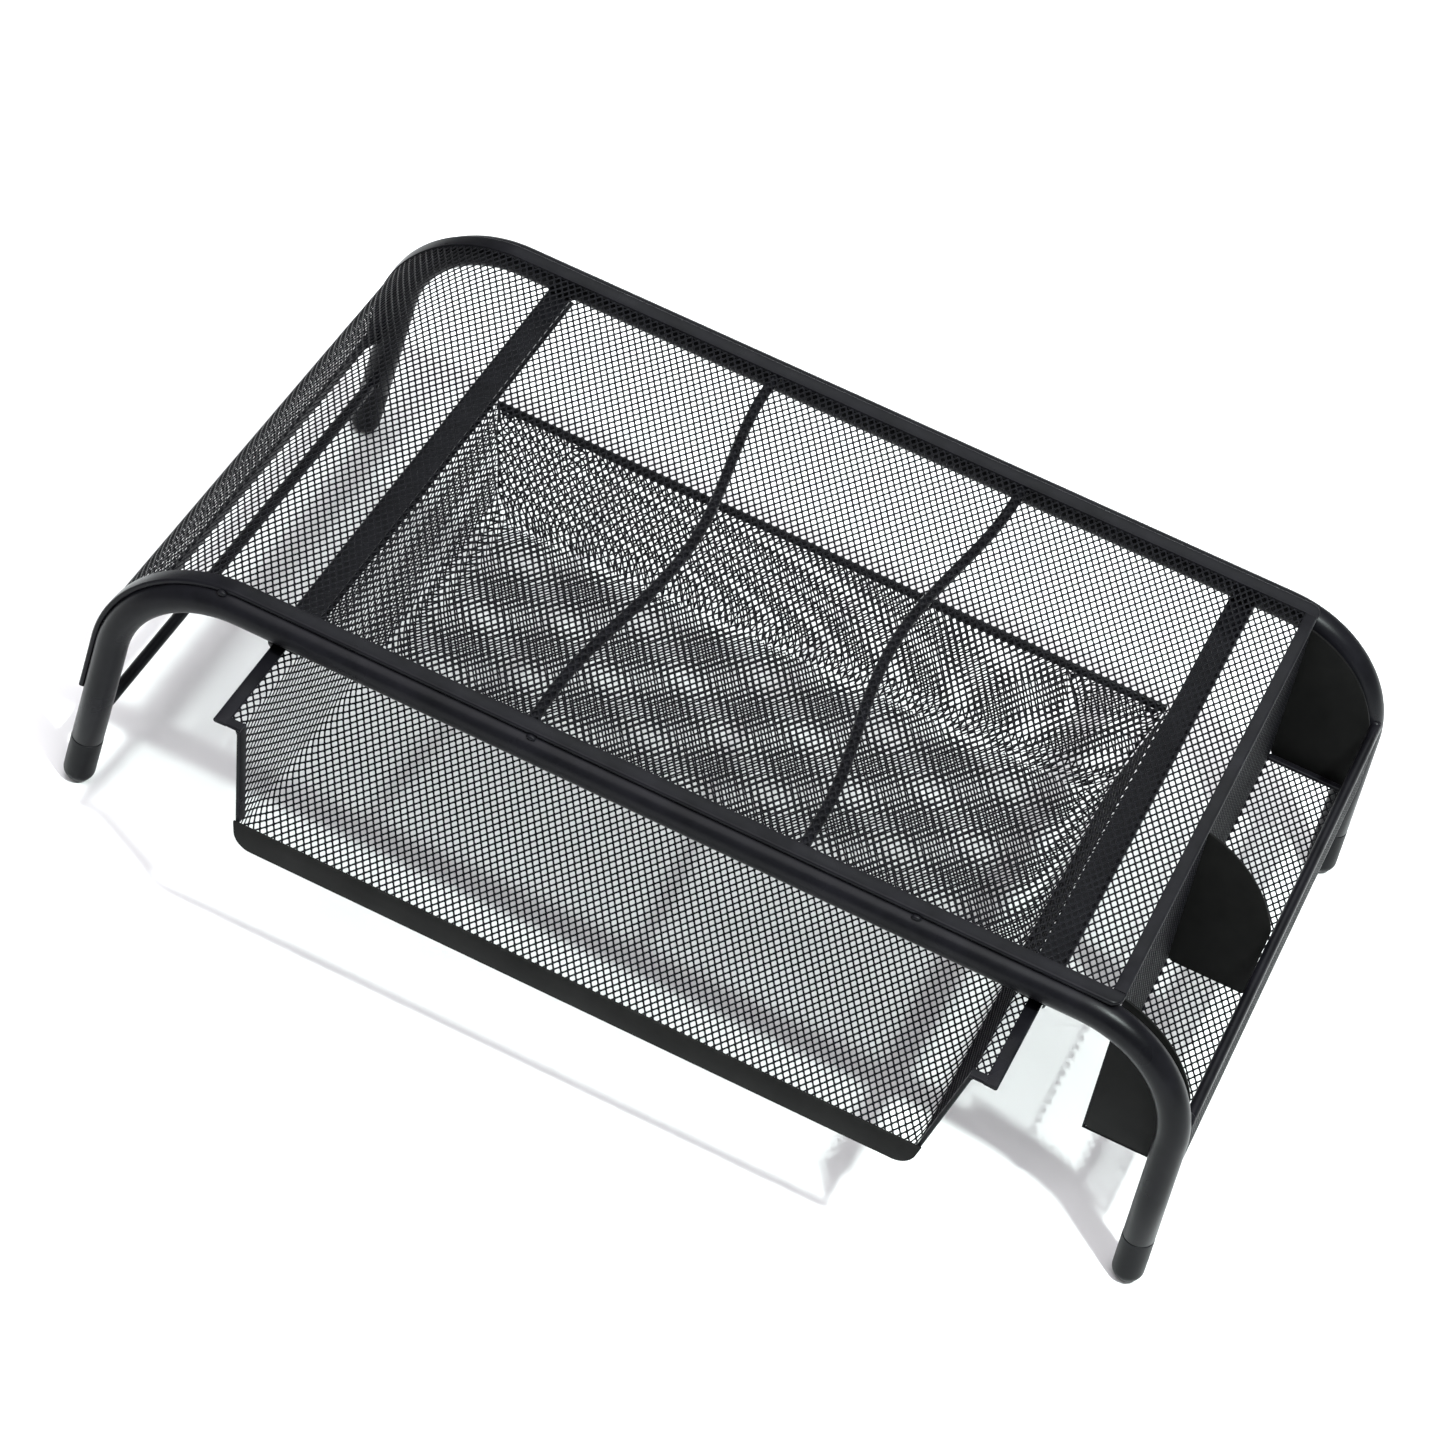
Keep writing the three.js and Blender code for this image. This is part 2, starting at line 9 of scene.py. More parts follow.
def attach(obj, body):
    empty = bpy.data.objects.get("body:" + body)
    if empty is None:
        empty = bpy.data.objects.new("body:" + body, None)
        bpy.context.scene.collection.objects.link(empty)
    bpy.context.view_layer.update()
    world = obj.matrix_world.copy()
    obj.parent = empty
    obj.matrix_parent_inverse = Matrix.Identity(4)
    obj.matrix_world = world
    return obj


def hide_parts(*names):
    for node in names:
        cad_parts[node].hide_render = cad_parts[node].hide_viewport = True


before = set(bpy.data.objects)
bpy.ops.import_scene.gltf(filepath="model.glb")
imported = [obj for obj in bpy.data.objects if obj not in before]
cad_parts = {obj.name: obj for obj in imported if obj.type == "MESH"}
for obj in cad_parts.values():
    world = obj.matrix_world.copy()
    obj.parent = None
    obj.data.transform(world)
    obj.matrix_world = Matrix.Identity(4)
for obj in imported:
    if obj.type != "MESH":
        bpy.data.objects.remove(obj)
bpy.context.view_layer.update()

# ---------------------------------------------------------------- dimensions, millimetres
BEND_CX, BEND_CZ, BEND_R = 190.5, 80.5, 54.5
SPLAY = 0.066
BEND_END = math.pi / 2 - SPLAY
TUBE_R, TUBE_Z = 7.0, 135.0
CAP_H = 26.0
Y_FRONT = -115.8  # axis of the front tube
Y_REAR = Y_FRONT + 282.0
SHEET_Z = 143.4  # middle plane of the top sheet
R_SHEET = 62.9
TOP_RIGHT = 205.0
RIGHT_HEM_W = 5.8
SIDE_END_Z = 54.0
HEM_W, HEM_T = 7.9, 2.2
TOP_Y0, TOP_Y1 = Y_FRONT - 2.0, Y_FRONT + 279.5
DRAWER_Y0 = Y_FRONT - 56.0
DRAWER_Y1 = DRAWER_Y0 + 258.0
FLANGE_BACK, LIP_TOP, FLANGE_HEM_W = 4.5, 78.6, 6.0
FLANGE_Z, FLANGE_OUT = 122.7, 175.5
WALL_TOP_X = 164.0
FLOOR_Z = 67.0
CORNER_R = 8.0
LEAN = math.atan2(164.0 - 154.5, FLANGE_Z - FLOOR_Z - CORNER_R)
CADDY_Z = 59.3
RIM_X, RIM_Z, RIM_R = 248.0, 96.0, 2.5
inner_x = lambda z: 209.1 + (59.9 - z) * 0.06
CADDY_Y0, CADDY_Y1 = Y_FRONT + 10.4, Y_REAR - 10.0
PLATE_X1, PLATE_R, PLATE_T = 245.2, 58.0, 1.2


# ---------------------------------------------------------------- mesh helpers
def make(name, co, parts, body, material, replaces=(), sharp=None):
    """An object from points in millimetres and (faces, smooth) parts. Faces are index arrays, or a list of them."""
    co = np.asarray(co, float) / 1000.0
    loops, sizes, smooth = [], [], []
    for faces, is_smooth in parts:
        if isinstance(faces, np.ndarray):
            loops.append(faces.ravel())
            sizes.append(np.full(len(faces), faces.shape[1]))
            smooth.append(np.full(len(faces), is_smooth))
        else:
            for f in faces:
                loops.append(np.asarray(f))
                sizes.append(np.array([len(f)]))
                smooth.append(np.array([is_smooth]))
    loops, sizes, smooth = (np.concatenate(x) for x in (loops, sizes, smooth))
    me = bpy.data.meshes.new(name)
    me.vertices.add(len(co))
    me.vertices.foreach_set("co", co.astype(np.float32).ravel())
    me.loops.add(len(loops))
    me.loops.foreach_set("vertex_index", loops.astype(np.int32))
    me.polygons.add(len(sizes))
    me.polygons.foreach_set("loop_start", np.concatenate([[0], np.cumsum(sizes)[:-1]]).astype(np.int32))
    me.polygons.foreach_set("use_smooth", smooth.astype(bool))
    me.update(calc_edges=True)
    me.validate()
    if sharp is not None:
        me.set_sharp_from_angle(angle=sharp)
    me.materials.append(material)
    ob = bpy.data.objects.new(name, me)
    bpy.context.scene.collection.objects.link(ob)
    if replaces:
        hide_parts(*replaces)
    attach(ob, body)
    return ob


class Shape:
    """Collects lofted shells into one object's points and faces."""

    def __init__(self):
        self.co, self.quads, self.caps, self.n = [], [], [], 0

    def loft(self, rings, closed=False):
        """Rings of the same number of points, each running anticlockwise about the direction of travel."""
        rings = np.asarray(rings, float)
        m, k = rings.shape[:2]
        base = self.n
        self.co.append(rings.reshape(-1, 3))
        self.n += m * k
        i = np.arange(k)
        for r in range(m if closed else m - 1):
            a = base + r * k
            b = base + ((r + 1) % m) * k
            self.quads.append(np.stack([a + i, a + (i + 1) % k, b + (i + 1) % k, b + i], 1))
        if not closed:
            self.caps.append((base + i)[::-1])
            self.caps.append(base + (m - 1) * k + i)
        return self

    def lump(self, centre, radii, seed, rough=0.12, axis=None):
        """A small weld nub: a slightly uneven flattened ball."""
        rng = np.random.default_rng(seed)
        nu, nv = 14, 8
        rings = []
        wob = rng.normal(0, rough, (nv + 1, nu))
        for j in range(nv + 1):
            t = math.pi * (0.04 + 0.92 * j / nv)
            a = 2 * math.pi * np.arange(nu) / nu
            r = np.sin(t) * (1 + wob[j])
            rings.append(np.stack([r * np.cos(a), r * np.sin(a), np.full(nu, -math.cos(t))], 1))
        rings = np.array(rings) * np.asarray(radii, float)
        if axis is not None:
            z = Vector(axis).normalized()
            q = Vector((0, 0, 1)).rotation_difference(z)
            rings = rings @ np.array(q.to_matrix()).T
        return self.loft(rings + np.asarray(centre, float))

    def build(self, name, body, material, replaces=(), sharp=math.radians(38)):
        return make(
            name,
            np.concatenate(self.co),
            [(np.concatenate(self.quads), True), (self.caps, True)] if self.caps else [(np.concatenate(self.quads), True)],
            body,
            material,
            replaces,
            sharp,
        )


def fillet(points, radii, steps=10):
    """An open path in the plane with its corners rounded."""
    out = [np.asarray(points[0], float)]
    for p, c, q, r in zip(points[:-2], points[1:-1], points[2:], radii):
        p, c, q = (np.asarray(v, float) for v in (p, c, q))
        a, b = (p - c) / np.linalg.norm(p - c), (q - c) / np.linalg.norm(q - c)
        half = math.acos(np.clip(a @ b, -1, 1)) / 2
        bis = (a + b) / np.linalg.norm(a + b)
        centre = c + bis * r / math.sin(half)
        t0, t1 = c + a * r / math.tan(half), c + b * r / math.tan(half)
        v0, v1 = (t0 - centre) / r, (t1 - centre) / r
        sweep = math.acos(np.clip(v0 @ v1, -1, 1))
        side = 1.0 if v0[0] * v1[1] - v0[1] * v1[0] > 0 else -1.0
        for i in range(steps + 1):
            w = side * sweep * i / steps
            cw, sw = math.cos(w), math.sin(w)
            out.append(centre + r * np.array([v0[0] * cw - v0[1] * sw, v0[0] * sw + v0[1] * cw]))
    out.append(np.asarray(points[-1], float))
    return np.array(out)


class Path:
    """A path in x, z measured by length. Its normal is on the left of the travel."""

    def __init__(self, pts):
        self.p = np.asarray(pts, float)
        d = np.diff(self.p, axis=0)
        l = np.linalg.norm(d, axis=1)
        self.s = np.concatenate([[0], np.cumsum(l)])
        t = d / l[:, None]
        tv = np.concatenate([t[:1], (t[:-1] + t[1:]), t[-1:]])
        tv /= np.linalg.norm(tv, axis=1)[:, None]
        self.normal = np.stack([-tv[:, 1], tv[:, 0]], 1)
        self.length = float(self.s[-1])

    def at(self, s, h=0.0):
        s = np.asarray(s, float)
        n = np.stack([np.interp(s, self.s, self.normal[:, k]) for k in (0, 1)], -1)
        n /= np.linalg.norm(n, axis=-1)[..., None]
        p = np.stack([np.interp(s, self.s, self.p[:, k]) for k in (0, 1)], -1)
        # past an end the path runs straight on
        over = np.maximum(s - self.s[-1], 0) + np.minimum(s, 0)
        t = np.stack([n[..., 1], -n[..., 0]], -1)
        return p + t * over[..., None] + n * np.asarray(h, float)[..., None]

    def stations(self, s0, s1):
        inner = self.s[(self.s > s0 + 0.05) & (self.s < s1 - 0.05)]
        return np.concatenate([[s0], inner, [s1]])


def circle(r, n, turn=0.0):
    a = turn + 2 * math.pi * np.arange(n) / n
    return np.stack([r * np.cos(a), r * np.sin(a)], 1)


def rounded(a0, a1, b0, b1, r00, r10, r11, r01, steps=5):
    """Anticlockwise rounded rectangle; radii of its corners (a0,b0), (a1,b0), (a1,b1), (a0,b1)."""
    out = []
    for (ca, cb, r, start) in (
        (a0 + r00, b0 + r00, r00, math.pi),
        (a1 - r10, b0 + r10, r10, 1.5 * math.pi),
        (a1 - r11, b1 - r11, r11, 0.0),
        (a0 + r01, b1 - r01, r01, 0.5 * math.pi),
    ):
        for i in range(steps + 1):
            a = start + math.pi / 2 * i / steps
            out.append((ca + r * math.cos(a), cb + r * math.sin(a)))
    return np.array(out)


def inset(poly, d):
    """A closed anticlockwise outline moved inwards by d."""
    prev, nxt = np.roll(poly, 1, 0), np.roll(poly, -1, 0)
    t0, t1 = poly - prev, nxt - poly
    t0 /= np.maximum(np.linalg.norm(t0, axis=1), 1e-9)[:, None]
    t1 /= np.maximum(np.linalg.norm(t1, axis=1), 1e-9)[:, None]
    n = np.stack([-(t0[:, 1] + t1[:, 1]), t0[:, 0] + t1[:, 0]], 1)
    n2 = np.maximum((n * n).sum(1), 0.6)[:, None]
    return poly + d * 2 * n / n2


def band(pts, t, side=0.0):
    """A closed outline of thickness t round an open path, moved sideways by side."""
    p = Path(pts)
    left = p.p + p.normal * (side + t / 2)
    right = p.p + p.normal * (side - t / 2)
    return np.concatenate([right, left[::-1]])


def signed_area(poly):
    x, y = poly[:, 0], poly[:, 1]
    return 0.5 * float(np.sum(x * np.roll(y, -1) - y * np.roll(x, -1)))


def along_y(shape, outline, y0, y1, edge=0.3, stations=()):
    """An x, z outline run from y0 to y1, its two ends with small rounded edges."""
    poly = np.asarray(outline, float)
    if signed_area(poly) > 0:  # anticlockwise about +Y is clockwise in x, z
        poly = poly[::-1]
    inner = inset(poly[::-1], edge)[::-1]
    mid = inset(poly[::-1], edge * 0.3)[::-1]
    rings = []
    for p, y in (
        [(inner, y0), (mid, y0 + edge * 0.3), (poly, y0 + edge)]
        + [(poly, y) for y in stations]
        + [(poly, y1 - edge), (mid, y1 - edge * 0.3), (inner, y1)]
    ):
        rings.append(np.stack([p[:, 0], np.full(len(p), y), p[:, 1]], 1))
    return shape.loft(rings)


def along_path(shape, path, s_values, section):
    """A (y, h) section run along an x, z path; section(s) gives it at each station."""
    rings = []
    for s in s_values:
        sec = section(s)
        xz = path.at(np.full(len(sec), s), sec[:, 1])
        rings.append(np.stack([xz[:, 0], sec[:, 0], xz[:, 1]], 1))
    rings = np.array(rings)
    # turn the section so that it runs anticlockwise about the travel
    t = rings[1].mean(0) - rings[0].mean(0)
    r = rings[0] - rings[0].mean(0)
    turn = np.cross(r, np.roll(r, -1, 0)).sum(0) @ t
    if turn < 0:
        rings = rings[:, ::-1]
    return shape.loft(rings)


def rod(shape, pts, r, sides=28, ends=0.4):
    """A round bar through 3-D points, its ends slightly rounded."""
    pts = np.asarray(pts, float)
    d = np.diff(pts, axis=0)
    d /= np.linalg.norm(d, axis=1)[:, None]
    t = np.concatenate([d[:1], d[:-1] + d[1:], d[-1:]])
    t /= np.linalg.norm(t, axis=1)[:, None]
    up = np.array([0.0, 0.0, 1.0]) if abs(t[0][2]) < 0.9 else np.array([0.0, 1.0, 0.0])
    rings = []
    first = True
    for p, k in zip(pts, t):
        up = up - k * (up @ k)
        up /= np.linalg.norm(up)
        side = np.cross(up, k)
        c = circle(1.0, sides)
        ring = lambda rr, shift: p + k * shift + rr * (c[:, :1] * side + c[:, 1:] * -up)
        # side x -up ... anticlockwise about k
        if first:
            rings += [ring(r - ends, 0.0), ring(r - ends * 0.3, ends * 0.3), ring(r, ends)]
            first = False
        elif p is pts[-1] or np.allclose(p, pts[-1]):
            rings += [ring(r, -ends), ring(r - ends * 0.3, -ends * 0.3), ring(r - ends, 0.0)]
        else:
            rings.append(ring(r, 0.0))
    rings = np.array(rings)
    tt = rings[1].mean(0) - rings[0].mean(0)
    rr = rings[0] - rings[0].mean(0)
    if np.cross(rr, np.roll(rr, -1, 0)).sum(0) @ (pts[1] - pts[0]) < 0:
        rings = rings[:, ::-1]
    return shape.loft(rings)


# ---------------------------------------------------------------- expanded mesh sheets
PITCH_U, PITCH_V = 3.5, 6.0
HOLE = np.array(  # a diamond with blunt corners, in half pitches
    [(0.67, 0.10), (0.115, 0.655), (-0.115, 0.655), (-0.67, 0.10), (-0.67, -0.10), (-0.115, -0.655), (0.115, -0.655), (0.67, -0.10)]
)
MESH_H, MESH_EDGE = 0.26, 0.15  # half thickness at the middle of a strand and at its edges


def mesh_sheet(name, mapping, u0, u1, v0, v1, pieces, body, material, flip=False, replaces=(), open_edge=""):
    """A sheet of expanded mesh, u0..u1 by v0..v1, mapped into place. Split along its strands into pieces that each stay small."""
    nu = max(2, round((u1 - u0) / (PITCH_U / 2)))
    nv = max(2, round((v1 - v0) / (PITCH_V / 2)))
    du, dv = (u1 - u0) / nu, (v1 - v0) / nv
    cuts = [round(nu * k / pieces) for k in range(pieces + 1)]
    cuts[-1] = nu + 1
    made = []
    gi, gj = np.meshgrid(np.arange(nu + 1), np.arange(nv + 1), indexing="ij")
    even = (gi + gj) % 2 == 0
    grid = lambda i, j: i * (nv + 1) + j
    for k in range(pieces):
        here = even & (gi >= cuts[k]) & (gi < cuts[k + 1])
        inner = here & (gi > 0) & (gi < nu) & (gj > 0) & (gj < nv)
        ci, cj = gi[inner], gj[inner]
        K = len(ci)
        # grid vertices first, top then bottom; then the hole vertices, top then bottom
        G = (nu + 1) * (nv + 1)
        R, T, L, B = grid(ci + 1, cj), grid(ci, cj + 1), grid(ci - 1, cj), grid(ci, cj - 1)
        H = 2 * G + np.arange(K)[:, None] * 8 + np.arange(8)[None]
        HB = H + 8 * K
        top_q = [np.stack(q, 1) for q in ((R, T, H[:, 1], H[:, 0]), (T, L, H[:, 3], H[:, 2]), (L, B, H[:, 5], H[:, 4]), (B, R, H[:, 7], H[:, 6]))]
        top_t = [np.stack(q, 1) for q in ((H[:, 7], R, H[:, 0]), (H[:, 1], T, H[:, 2]), (H[:, 3], L, H[:, 4]), (H[:, 5], B, H[:, 6]))]
        walls = [np.stack([H[:, i], H[:, (i + 1) % 8], HB[:, (i + 1) % 8], HB[:, i]], 1) for i in range(8)]
        # solid half and quarter cells along the sheet's own edges
        rim = here & ~inner
        tri = []
        for i, j in zip(gi[rim], gj[rim]):
            if (open_edge == "v0" and j == 0) or (open_edge == "v1" and j == nv):  # cut strands, not a solid margin
                continue
            pt = {"R": (i + 1, j), "T": (i, j + 1), "L": (i - 1, j), "B": (i, j - 1), "C": (i, j)}
            on = [i == 0, i == nu, j == 0, j == nv]
            keys = {
                (True, False, False, False): "BRT",
                (False, True, False, False): "TLB",
                (False, False, True, False): "LRT",
                (False, False, False, True): "RLB",
                (True, False, True, False): "CRT",
                (False, True, True, False): "CTL",
                (True, False, False, True): "CBR",
                (False, True, False, True): "CLB",
            }[tuple(bool(v) for v in on)]
            tri.append([grid(*pt[c]) for c in keys])
        tri = np.array(tri, int).reshape(-1, 3)
        # edges of cells used once need a wall
        e = [np.stack(p, 1) for p in ((R, T), (T, L), (L, B), (B, R))] + [tri[:, [0, 1]], tri[:, [1, 2]], tri[:, [2, 0]]]
        e = np.concatenate(e)
        key = np.minimum(e[:, 0], e[:, 1]) * (G + 1) + np.maximum(e[:, 0], e[:, 1])
        _, first, count = np.unique(key, return_index=True, return_counts=True)
        once = e[first[count == 1]]
        border = np.stack([once[:, 0], once[:, 0] + G, once[:, 1] + G, once[:, 1]], 1)
        # points
        hole = HOLE * np.array([du, dv])
        hu = (u0 + ci * du)[:, None] + hole[:, 0][None]
        hv = (v0 + cj * dv)[:, None] + hole[:, 1][None]
        gu, gv = (u0 + gi * du).ravel(), (v0 + gj * dv).ravel()
        u = np.concatenate([gu, gu, hu.ravel(), hu.ravel()])
        v = np.concatenate([gv, gv, hv.ravel(), hv.ravel()])
        h = np.concatenate([np.full(G, MESH_H), np.full(G, -MESH_H), np.full(8 * K, MESH_EDGE), np.full(8 * K, -MESH_EDGE)])

        def under(f):  # the same faces on the bottom, turned over
            g = np.where(f >= 2 * G, f + 8 * K, f + G)
            return g[:, ::-1]

        quads = np.concatenate(top_q + [under(q) for q in top_q])
        tris = np.concatenate(top_t + [under(q) for q in top_t] + ([tri, under(tri)] if len(tri) else []))
        wall = np.concatenate(walls)
        used = np.unique(np.concatenate([x.ravel() for x in (quads, tris, wall, border)]))
        back = np.full(2 * G + 16 * K, -1)
        back[used] = np.arange(len(used))
        faces = [back[x] for x in (quads, tris, wall, border)]
        if flip:
            faces = [x[:, ::-1] for x in faces]
        co = mapping(u[used], v[used], h[used])
        label = name if pieces == 1 else f"{name}_{k + 1}"
        made.append(
            make(
                label,
                co,
                [(faces[0], True), (faces[1], True), (faces[2], True), (faces[3], False)],
                body,
                material,
                replaces,
            )
        )
    return made


# ---------------------------------------------------------------- materials
def material(name):
    m = bpy.data.materials.new(name)
    m.use_nodes = True
    nt = m.node_tree
    nt.nodes.clear()
    out = nt.nodes.new("ShaderNodeOutputMaterial")
    bsdf = nt.nodes.new("ShaderNodeBsdfPrincipled")
    nt.links.new(bsdf.outputs["BSDF"], out.inputs["Surface"])
    return m, nt, bsdf


def coating(name, dark, light, worn, rough, grain, grain_mm, specular=0.5, wear=0.0, coat=0.0, dust=0.0):
    """Powder coat or moulded black: near-black with faint mottling, a fine orange-peel grain, uneven gloss, rubbed edges and a trace of dust on what faces up."""
    m, nt, bsdf = material(name)
    N, L = nt.nodes.new, nt.links.new
    at = N("ShaderNodeTexCoord").outputs["Object"]

    def noise(mm, detail=3.0, roughness=0.5):
        n = N("ShaderNodeTexNoise")
        n.inputs["Scale"].default_value = 1000.0 / mm
        n.inputs["Detail"].default_value = detail
        n.inputs["Roughness"].default_value = roughness
        L(at, n.inputs["Vector"])
        return n.outputs["Fac"]

    def ramp(value, lo, hi, to_lo, to_hi):
        r = N("ShaderNodeMapRange")
        r.inputs["From Min"].default_value = lo
        r.inputs["From Max"].default_value = hi
        r.inputs["To Min"].default_value = to_lo
        r.inputs["To Max"].default_value = to_hi
        L(value, r.inputs["Value"])
        return r.outputs["Result"]

    def mix(fac, a, b):
        x = N("ShaderNodeMix")
        x.data_type = "RGBA"
        L(fac, x.inputs["Factor"])
        for socket, value in (("A", a), ("B", b)):
            s = [i for i in x.inputs if i.name == socket and i.type == "RGBA"][0]
            if isinstance(value, tuple):
                s.default_value = (*value, 1)
            else:
                L(value, s)
        return [o for o in x.outputs if o.type == "RGBA"][0]

    colour = mix(ramp(noise(18, 4, 0.6), 0.35, 0.65, 0, 1), dark, light)
    if dust:
        geo = N("ShaderNodeNewGeometry")
        split = N("ShaderNodeSeparateXYZ")
        L(geo.outputs["Normal"], split.inputs["Vector"])
        up = ramp(split.outputs["Z"], 0.5, 1.0, 0.0, dust)
        blotch = ramp(noise(7, 5, 0.7), 0.45, 0.75, 0.0, 1.0)
        both = N("ShaderNodeMath")
        both.operation = "MULTIPLY"
        L(up, both.inputs[0])
        L(blotch, both.inputs[1])
        colour = mix(both.outputs[0], colour, (0.16, 0.16, 0.17))
    if wear:
        geo = N("ShaderNodeNewGeometry")
        edge = ramp(geo.outputs["Pointiness"], 0.53, 0.62, 0.0, wear)
        patch = ramp(noise(4, 4, 0.65), 0.42, 0.7, 0.15, 1.0)
        both = N("ShaderNodeMath")
        both.operation = "MULTIPLY"
        L(edge, both.inputs[0])
        L(patch, both.inputs[1])
        colour = mix(both.outputs[0], colour, worn)
    L(colour, bsdf.inputs["Base Color"])
    gloss = ramp(noise(26, 3, 0.6), 0.3, 0.7, rough - 0.05, rough + 0.07)
    L(gloss, bsdf.inputs["Roughness"])
    bsdf.inputs["Specular IOR Level"].default_value = specular
    bsdf.inputs["Metallic"].default_value = 0.0
    if coat:
        bsdf.inputs["Coat Weight"].default_value = coat
        bsdf.inputs["Coat Roughness"].default_value = 0.28
    bump = N("ShaderNodeBump")
    bump.inputs["Strength"].default_value = grain
    bump.inputs["Distance"].default_value = 0.0001
    L(noise(grain_mm, 4, 0.6), bump.inputs["Height"])
    L(bump.outputs["Normal"], bsdf.inputs["Normal"])
    return m


STEEL = coating("powder_coat_satin_black", (0.0028, 0.0028, 0.0036), (0.0052, 0.0050, 0.0066), (0.03, 0.03, 0.034), 0.30, 0.40, 0.55, 0.09, wear=0.25, dust=0.01)
SHEET = coating("powder_coat_mesh_black", (0.0028, 0.0028, 0.0036), (0.0050, 0.0050, 0.0064), (0.02, 0.02, 0.024), 0.42, 0.3, 0.5, 0.08)
FLAT = coating("powder_coat_flat_black", (0.0036, 0.0036, 0.0035), (0.0054, 0.0053, 0.0051), (0.02, 0.02, 0.02), 0.55, 0.5, 0.6, 0.06, wear=0.3)
PLASTIC = coating("moulded_black_plastic", (0.0030, 0.0031, 0.0038), (0.0050, 0.0051, 0.0062), (0.02, 0.02, 0.024), 0.40, 0.45, 0.9, 0.09, wear=0.2, dust=0.02)

# ---------------------------------------------------------------- frame tubes
half = [(0.0, TUBE_Z)] + [
    (BEND_CX + BEND_R * math.sin(BEND_END * i / 36), BEND_CZ + BEND_R * math.cos(BEND_END * i / 36)) for i in range(37)
]
leg_x0, leg_z0 = half[-1]
leg_at = lambda z, r=BEND_R: (BEND_CX + r * math.sin(BEND_END)) + ((BEND_CZ + r * math.cos(BEND_END)) - z) * math.tan(SPLAY)
half.append((leg_at(55.0), 55.0))
half.append((leg_at(CAP_H + 0.12), CAP_H + 0.12))
tube_xz = [(-x, z) for x, z in half[::-1]] + half[1:]


def tube(name, y, nubs, seed):
    s = Shape()
    rod(s, [(x, y, z) for x, z in tube_xz], TUBE_R, 44, 0.3)
    for i, (centre, radii, axis) in enumerate(nubs):
        s.lump(centre, radii, seed + i, 0.07, axis)
    return s.build(name + "_body", "stand", STEEL, [name])


# small welds between the strip's edge and the front tube
nubs = [((x, Y_FRONT - 2.9, TUBE_Z + 6.9), (rx, 1.25, 1.2), (0, -0.35, 1)) for x, rx in ((-200.0, 1.9), (-57.5, 2.2), (116.0, 2.2))]
tube("front_frame_tube", Y_FRONT, nubs, 11)
tube("rear_frame_tube", Y_REAR, [], 41)


# ---------------------------------------------------------------- foot caps
def foot(name, side, y):
    r = TUBE_R + 0.05
    prof = [(0.6, 0.02)]
    rb = 6.2
    for i in range(13):
        a = math.pi / 2 * i / 12
        prof.append((r - rb + rb * math.sin(a), rb - rb * math.cos(a)))
    prof += [(r + 0.03, 12.0), (r + 0.06, CAP_H - 1.2)]
    for i in range(1, 5):
        a = math.pi / 2 * i / 4
        prof.append((r + 0.06 - 0.45 + 0.45 * math.cos(a), CAP_H - 0.35 + 0.35 * math.sin(a)))
    prof += [(TUBE_R - 0.8, CAP_H - 0.05), (5.2, CAP_H - 0.2), (5.2, CAP_H + 10.0)]
    n = 44
    rings = []
    for pr, ph in prof:
        c = circle(pr, n)
        rings.append(np.stack([c[:, 0], c[:, 1], np.full(n, ph)], 1))
    rings = np.array(rings)
    # two mould lines down the sides
    a = np.arctan2(rings[..., 1], rings[..., 0])
    line = np.exp(-((np.abs(np.abs(a) - math.pi / 2) / 0.05) ** 2)) * 0.05
    rad = np.hypot(rings[..., 0], rings[..., 1])
    k = 1 + line / np.maximum(rad, 1)
    rings[..., 0] *= k
    rings[..., 1] *= k
    turn = -side * SPLAY
    c, s_ = math.cos(turn), math.sin(turn)
    x, z = rings[..., 0].copy(), rings[..., 2].copy()
    rings[..., 0] = x * c + z * s_ + side * leg_at(0.0)
    rings[..., 2] = np.maximum(-x * s_ + z * c, 0.0)
    rings[..., 1] += y
    s = Shape()
    s.loft(rings)
    return s.build(name + "_bumper", "stand", PLASTIC, [name])


for end, y in (("front", Y_FRONT), ("rear", Y_REAR)):
    for label, side in (("left", -1), ("right", 1)):
        foot(f"foot_cap_{end}_{label}", side, y)

# ---------------------------------------------------------------- top sheet and its folded edge strips
corner_x = (BEND_CX + R_SHEET * math.sin(BEND_END)) - (SHEET_Z - (BEND_CZ + R_SHEET * math.cos(BEND_END))) * math.tan(SPLAY)
TOP = Path(
    fillet([(TOP_RIGHT, SHEET_Z), (-corner_x, SHEET_Z), (-leg_at(SIDE_END_Z, R_SHEET), SIDE_END_Z)], [R_SHEET], 48)[:, :]
)
# travel is towards -X, so the normal on its left points down; heights are turned over below
top_map = lambda u, v, h: np.stack([*(TOP.at(u, -h).T), v], 1)[:, [0, 2, 1]]
mesh_sheet("top_sheet", top_map, 2.0, TOP.length - 2.0, TOP_Y0 + 2.0, TOP_Y1 - 2.0, 4, "stand", SHEET, flip=True, replaces=["top_mesh_panel"])


def hem_section(a_out, a_in, t=HEM_T, pinch=0.28):
    """A folded strip seen end on: a full round fold on the outer edge, its leaves closing a little towards the inner edge."""
    lo, hi = min(a_out, a_in), max(a_out, a_in)
    if a_out < a_in:
        sec = rounded(lo, hi, -t / 2, t / 2, t / 2 - 0.02, 0.32, 0.32, t / 2 - 0.02)
    else:
        sec = rounded(lo, hi, -t / 2, t / 2, 0.32, t / 2 - 0.02, t / 2 - 0.02, 0.32)
    w = np.clip((sec[:, 0] - a_out) / (a_in - a_out), 0, 1)
    sec[:, 1] *= 1 - pinch * np.clip((w - 0.35) / 0.65, 0, 1) ** 2
    return sec


